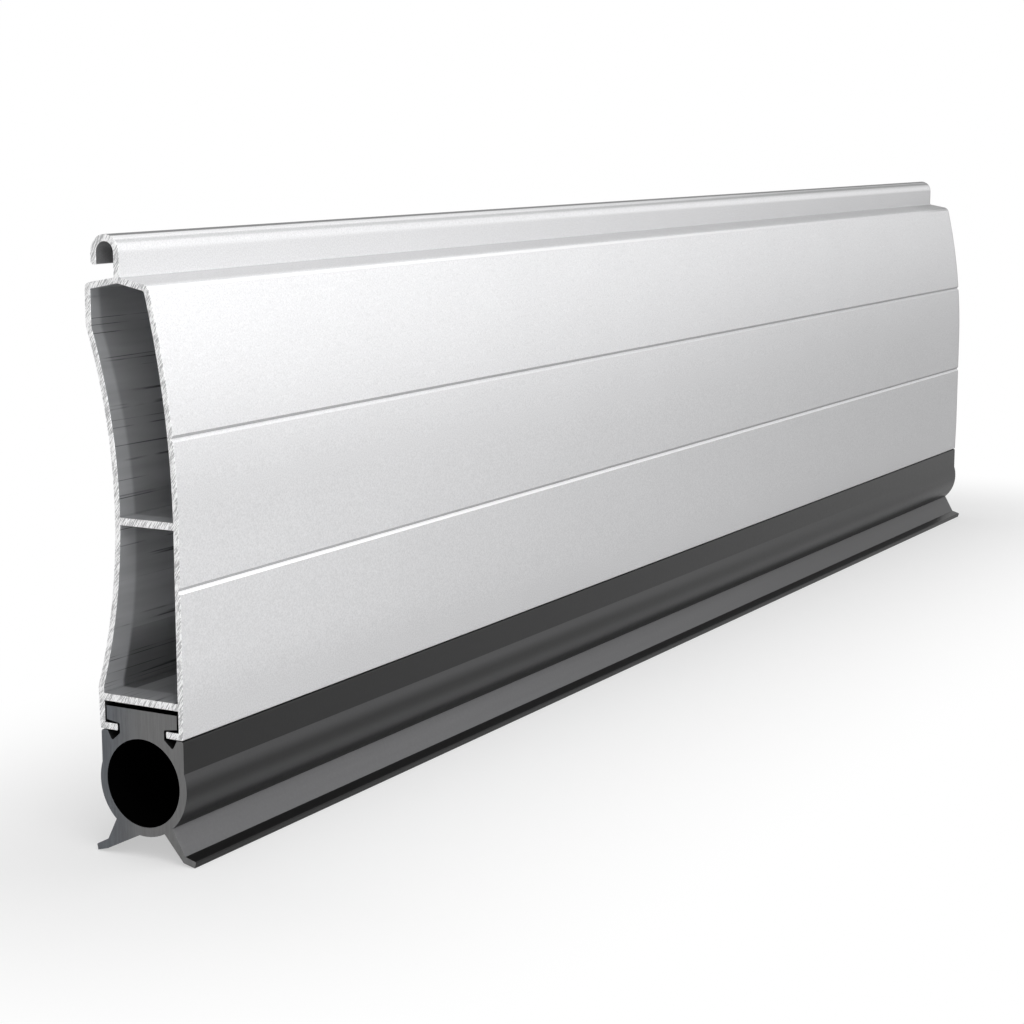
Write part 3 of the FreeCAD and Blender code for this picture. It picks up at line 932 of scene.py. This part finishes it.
def inside_finish(f, s):
    """Uncoated metal inside the chambers, with thin uneven lines from the die. Its first few
    millimetres get a painted light band, and the rest gets painted shade near the mouth, low on
    the back wall and in a thin line along each chamber's floor."""
    m = Finish("chamber_aluminium")
    die = m.noise(m.stretched(0.006, 1.0, 1.0), 300.0, 2.0, 0.5)
    broken = m.noise(m.stretched(0.4, 1.0, 1.0), 220.0, 2.0).fade(0.38, 0.60)
    wash = m.noise(m.stretched(0.1, 1.0, 1.0), 300.0, 2.0, 0.6)
    line = die.stripe(0.5, 0.0042, 0.014) * broken

    depth = m.x - SLAT_LOW.x
    up = m.z - SLAT_LOW.z
    # Painted light band over the first few millimetres from the cut, narrower higher up
    painted_light_band = 1.0 - (depth + up * 0.045).fade(5.5 * MM, 6.6 * MM)
    floor_low = slot_roof_top(s)
    floor_high = floor_low + s.belly_rise + s.web_rise + s.web
    in_upper = up > floor_high - 0.1 * MM
    rise = up - floor_low - in_upper * (floor_high - floor_low)
    back = m.y > middle_plane(s) + s.slot_half * 0.7
    # Painted shade low on the back wall, beyond the light band
    low_back_shade = back * (1.0 - painted_light_band) * (1.0 - rise.fade(4.0 * MM, 17.0 * MM))
    tone = (1.0 - line * 0.7) * ((wash - 0.5) * 0.5 + 0.92)
    # Painted shade near the mouth, the painted light band, painted shade low on the back wall and
    # a thin painted shade along each floor
    tone = tone.toned(1.0 - depth.fade(0.0, 30.0 * MM), -0.62).toned(painted_light_band, 0.5)
    tone = tone.toned(low_back_shade, -0.55).toned(abs(rise) < 0.3 * MM, -0.16)
    m.set(Base_Color=m.mix(tone.clamped(), (0.0, 0.0, 0.0), times(f.inside, 1.1)), Metallic=0.2,
          Roughness=0.55)
    return m.material


def rubber_finish(f, s, plane):
    """Extruded rubber: matt black with a fine grain, with painted highlights on the lips, under
    the edge of the flat side and in a band low on the bulb, painted shade on the bulb's bottom and
    the lip tips, and painted black shade in the seam under the slat."""
    m = Finish("rubber_skin")
    up = m.z
    near_part = 1.0 - m.x.fade(-0.15, 0.20)
    outward = abs(m.y - plane) - s.front_bend
    grain = m.noise(m.place, 1500.0, 3.0, 0.6)
    pull = m.noise(m.stretched(1.0, 60.0, 60.0), 12.0, 2.0)
    tone = ((grain - 0.5) * 0.35 + (pull - 0.5) * 0.3 + 0.5).clamped()

    # Painted highlights under the flat side's edge, in a band low on the bulb and on the lips'
    # upper faces, and painted shade on the bulb's bottom
    below = flat_side_foot(s) - up
    highlight_under_edge = (below > 0.0) * (1.0 - below.fade(0.8 * MM, 3.4 * MM))
    low_band_highlight = up.band(8.8 * MM, 10.4 * MM, 11.0 * MM, 13.2 * MM)
    lip = (1.0 - up.fade(6.6 * MM, 6.9 * MM)) * (up > s.front_bend_up) * (outward < 0.05 * MM)
    tip = (outward > 0.0) * up.within(s.lip_tip * 0.9, 3.0 * MM)
    shade = highlight_under_edge * (near_part * 2.6) + low_band_highlight * 1.4 + lip * (near_part * 4.6 + 3.2) + 0.72
    shade = shade - (1.0 - up.fade(7.6 * MM, 9.4 * MM)) * 0.35
    # Painted black shade in the seam under the slat and painted shade on the lip tips
    seam = up.fade(seal_seat(s) - 0.50 * MM, seal_seat(s) - 0.20 * MM)
    shade = shade.toned(seam, -0.95).toned(tip, -0.75)
    colour = m.mix(tone, times(f.rubber, 0.7), times(f.rubber, 1.3))
    m.set(Base_Color=m.scaled(colour, shade), Specular_IOR_Level=0.2,
          Roughness=(grain - 0.5) * 0.12 + f.rubber_roughness,
          Normal=m.bump(grain, 0.03 * MM, 0.4))
    return m.material


def cut_rubber_finish(f):
    """Rubber cut with a knife: mid grey with fine upright streaks, and painted shade that makes it
    darker and bluer towards the back.
    """
    m = Finish("rubber_cut_face")
    streak = m.noise(m.stretched(1.0, 30.0, 1.2), 60.0, 3.0, 0.6)
    fine = m.noise(m.stretched(1.0, 30.0, 2.0), 170.0, 2.0, 0.6)
    tone = (streak * 0.6 + fine * 0.4).fade(0.34, 0.62)
    # Painted shade: darker, bluer tints towards the back
    backward = m.y.fade(-2.0 * MM, 9.0 * MM)
    light = m.mix(backward, times(f.cut_rubber, 1.12), f.cut_light)
    dark = m.mix(backward, times(f.cut_rubber, 0.92), f.cut_dark)
    m.set(Base_Color=m.mix(tone, dark, light), Roughness=0.6,
          Normal=m.bump(streak, 0.03 * MM, 0.4))
    return m.material


def bore_finish(f):
    """The inside of the bulb, which no light reaches, painted near black as shade."""
    m = Finish("rubber_bore")
    grain = m.noise(m.place, 1200.0, 2.0)
    m.set(Base_Color=m.mix(grain, times(f.rubber, 0.04), times(f.rubber, 0.10)), Roughness=0.9,
          Specular_IOR_Level=0.0)
    return m.material


def floor_finish(colour):
    """Pale matt floor that turns plain white away from the slat."""
    m = Finish("pale_floor")
    m.set(Base_Color=(*colour, 1.0), Roughness=0.9, Specular_IOR_Level=0.0)
    beyond = abs(m.x) - SLAT_HIGH.x
    beyond = beyond.maths("MAXIMUM", beyond, 0.0)
    away = ((beyond * beyond + m.y * m.y) ** 0.5).fade(0.01, 0.10) * 0.5 + 0.5
    white = m.out("ShaderNodeEmission", {"Color": (1.0, 1.0, 1.0, 1.0), "Strength": 1.0})
    mixed = m.out("ShaderNodeMixShader", {0: away * m.seen(), 1: m.shader.outputs[0], 2: white})
    m.feed(m.tree.nodes["Material Output"].inputs["Surface"], mixed)
    return m.material


# Studio

def build_floor(colour):
    """A wide plane just under the seal's lips."""
    mesh = bpy.data.meshes.new("floor")
    rim = ((-FLOOR_HALF, -FLOOR_HALF), (FLOOR_HALF, -FLOOR_HALF),
           (FLOOR_HALF, FLOOR_HALF), (-FLOOR_HALF, FLOOR_HALF))
    mesh.from_pydata([(x, y, FLOOR_UP) for x, y in rim], [], [(0, 1, 2, 3)])
    floor = bpy.data.objects.new("floor", mesh)
    bpy.context.scene.collection.objects.link(floor)
    mesh.materials.append(floor_finish(colour))


def softbox(name, watts, side, place):
    """A square lamp that looks at the near half of the slat."""
    light = bpy.data.lights.new(name, "AREA")
    light.shape = "SQUARE"
    light.size = side
    light.energy = watts
    lamp = bpy.data.objects.new(name, light)
    lamp.location = place
    way = Vector(LAMP_TARGET) - Vector(place)
    lamp.rotation_euler = way.to_track_quat("-Z", "Y").to_euler()
    bpy.context.scene.collection.objects.link(lamp)


def build_room(scene, strength):
    """Even light from all sides, behind which the camera sees plain white."""
    world = bpy.data.worlds.new("room")
    scene.world = world
    world.use_nodes = True
    room = NodeSheet(world.node_tree)
    back = world.node_tree.nodes["Background"]
    back.inputs["Color"].default_value = (1.0, 1.0, 1.0, 1.0)
    room.feed(back.inputs["Strength"], room.seen() * (1.0 - strength) + strength)


def build_camera(scene, focal):
    """The camera stands where the photograph was taken from."""
    lens = bpy.data.cameras.new("camera")
    lens.lens = focal
    lens.sensor_width = SENSOR_WIDTH
    lens.clip_start, lens.clip_end = CLIP_RANGE
    camera = bpy.data.objects.new("camera", lens)
    camera.location = CAMERA_PLACE
    camera.rotation_euler = (math.radians(90.0) - CAMERA_PITCH, 0.0, CAMERA_YAW)
    scene.collection.objects.link(camera)
    scene.camera = camera


# Operators, one for each piece and one for the studio

class ShutterOperator(Operator):
    bl_options = {"REGISTER", "UNDO"}


class OBJECT_OT_shutter_slat(ShutterOperator):
    """Build the aluminium slat with its hook, chambers, slot and grooves"""
    bl_idname = "object.shutter_slat"
    bl_label = "Build slat"

    def execute(self, context):
        scene = context.scene
        sizes = scene.slat_sizes
        finishes = scene.slat_finishes
        outside, cavities = slat_outlines(sizes)
        mesh = section_mesh("slat_section", outside, cavities)
        piece = drawn_piece("slat_dressed", mesh, {
            "Length": SLAT_HIGH.x - SLAT_LOW.x,
            "Cut edge": sizes.cut_edge,
            "Across": middle_plane(sizes),
            "Up": SLAT_LOW.z,
            "Outside finish": coat_finish(finishes, sizes),
            "Inside finish": inside_finish(finishes, sizes),
            "Cut finish": sawn_finish(finishes),
        })
        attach(piece, "root")
        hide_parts(SLAT_NODE)
        return {"FINISHED"}


class OBJECT_OT_shutter_seal(ShutterOperator):
    """Build the rubber seal with its head, bulb and two lips"""
    bl_idname = "object.shutter_seal"
    bl_label = "Build seal"

    def execute(self, context):
        scene = context.scene
        sizes = scene.seal_sizes
        finishes = scene.slat_finishes
        plane = middle_plane(scene.slat_sizes)
        outside, cavities = seal_outlines(sizes, scene.slat_sizes)
        mesh = section_mesh("seal_section", outside, cavities)
        piece = drawn_piece("seal_dressed", mesh, {
            "Length": SEAL_HIGH.x - SEAL_LOW.x,
            "Cut edge": sizes.cut_edge,
            "Across": plane,
            "Up": 0.0,
            "Outside finish": rubber_finish(finishes, sizes, plane),
            "Inside finish": bore_finish(finishes),
            "Cut finish": cut_rubber_finish(finishes),
        })
        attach(piece, "root")
        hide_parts(SEAL_NODE)
        return {"FINISHED"}


class OBJECT_OT_shutter_studio(ShutterOperator):
    """Build the floor, the lamps, the room light and the camera"""
    bl_idname = "object.shutter_studio"
    bl_label = "Build studio"

    def execute(self, context):
        scene = context.scene
        studio = scene.slat_studio
        build_floor(studio.floor)
        for name, (side, place) in LAMPS.items():
            softbox(name + "_lamp", getattr(studio, name), side, place)
        build_room(scene, studio.world)
        build_camera(scene, studio.focal)
        scene.view_settings.view_transform = "Standard"
        return {"FINISHED"}


class VIEW3D_PT_shutter_slat(Panel):
    """Sizes, finishes and steps of the shutter slat"""
    bl_label = "Shutter slat"
    bl_idname = "VIEW3D_PT_shutter_slat"
    bl_space_type = "VIEW_3D"
    bl_region_type = "UI"
    bl_category = "Shutter slat"

    def draw(self, context):
        scene = context.scene
        layout = self.layout
        for step in STEPS:
            layout.operator(step.bl_idname)
        for group in (scene.slat_sizes, scene.seal_sizes, scene.slat_finishes, scene.slat_studio):
            box = layout.box()
            for key in group.bl_rna.properties.keys():
                if key not in ("name", "rna_type"):
                    box.prop(group, key, text=key.replace("_", " ").capitalize())


STEPS = (OBJECT_OT_shutter_slat, OBJECT_OT_shutter_seal, OBJECT_OT_shutter_studio)
GROUPS = {"slat_sizes": SlatSizes, "seal_sizes": SealSizes, "slat_finishes": Finishes,
          "slat_studio": Studio}


def register():
    for group in GROUPS.values():
        bpy.utils.register_class(group)
    for name, group in GROUPS.items():
        setattr(bpy.types.Scene, name, PointerProperty(type=group))
    for step in STEPS:
        bpy.utils.register_class(step)
    bpy.utils.register_class(VIEW3D_PT_shutter_slat)


def unregister():
    bpy.utils.unregister_class(VIEW3D_PT_shutter_slat)
    for step in reversed(STEPS):
        bpy.utils.unregister_class(step)
    for name in GROUPS:
        delattr(bpy.types.Scene, name)
    for group in reversed(list(GROUPS.values())):
        bpy.utils.unregister_class(group)


def main():
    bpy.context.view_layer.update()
    register()
    bpy.ops.object.shutter_slat()
    bpy.ops.object.shutter_seal()
    bpy.ops.object.shutter_studio()


if __name__ == "__main__":
    main()
